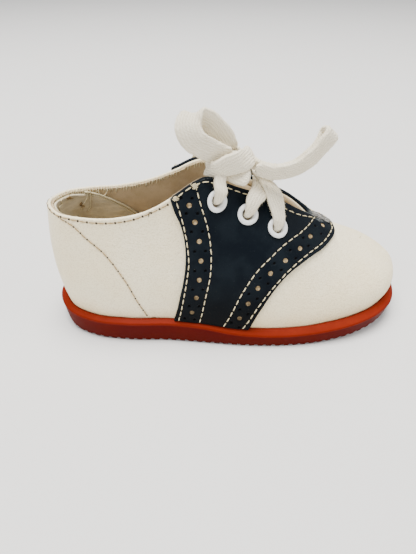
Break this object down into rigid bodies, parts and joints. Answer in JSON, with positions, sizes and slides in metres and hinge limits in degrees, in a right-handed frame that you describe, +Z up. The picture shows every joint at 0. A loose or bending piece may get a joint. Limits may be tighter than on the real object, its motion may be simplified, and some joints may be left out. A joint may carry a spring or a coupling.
{
  "type": "saddle shoe",
  "caption": "Small child's lace-up saddle shoe in white leather with a dark saddle and a rippled red rubber sole, its bow tied",
  "frame": {"origin": "on the floor, under the middle of the shoe's own length and width", "axes": "+X to the toe, -Y to the outer side of the right foot, +Z up"},
  "size_m": [0.13, 0.0564, 0.0777],
  "materials": {
    "rubber": "worn red moulded rubber",
    "white_leather": "smooth cream-white leather with a soft sheen",
    "navy_leather": "dark navy leather, slightly glossy, scuffed at the edges",
    "lining": "matt tan cloth",
    "enamel": "white enamel on the eyelets",
    "cotton": "soft white woven cotton"
  },
  "bodies": {
    "root": {"outsole": "rubber", "insole": "lining", "upper": "white_leather", "saddle": "navy_leather", "tongue": "lining", "eyelet_lateral_rear": "enamel", "eyelet_lateral_middle": "enamel", "eyelet_lateral_front": "enamel", "eyelet_medial_rear": "enamel", "eyelet_medial_middle": "enamel", "eyelet_medial_front": "enamel", "lace_crossing": "cotton", "lace_rear_lateral": "cotton", "lace_rear_medial": "cotton", "lace_knot": "cotton", "lace_loop_back": "cotton", "lace_loop_front": "cotton", "lace_end_near": "cotton", "lace_end_far": "cotton"}
  },
  "joints": []
}
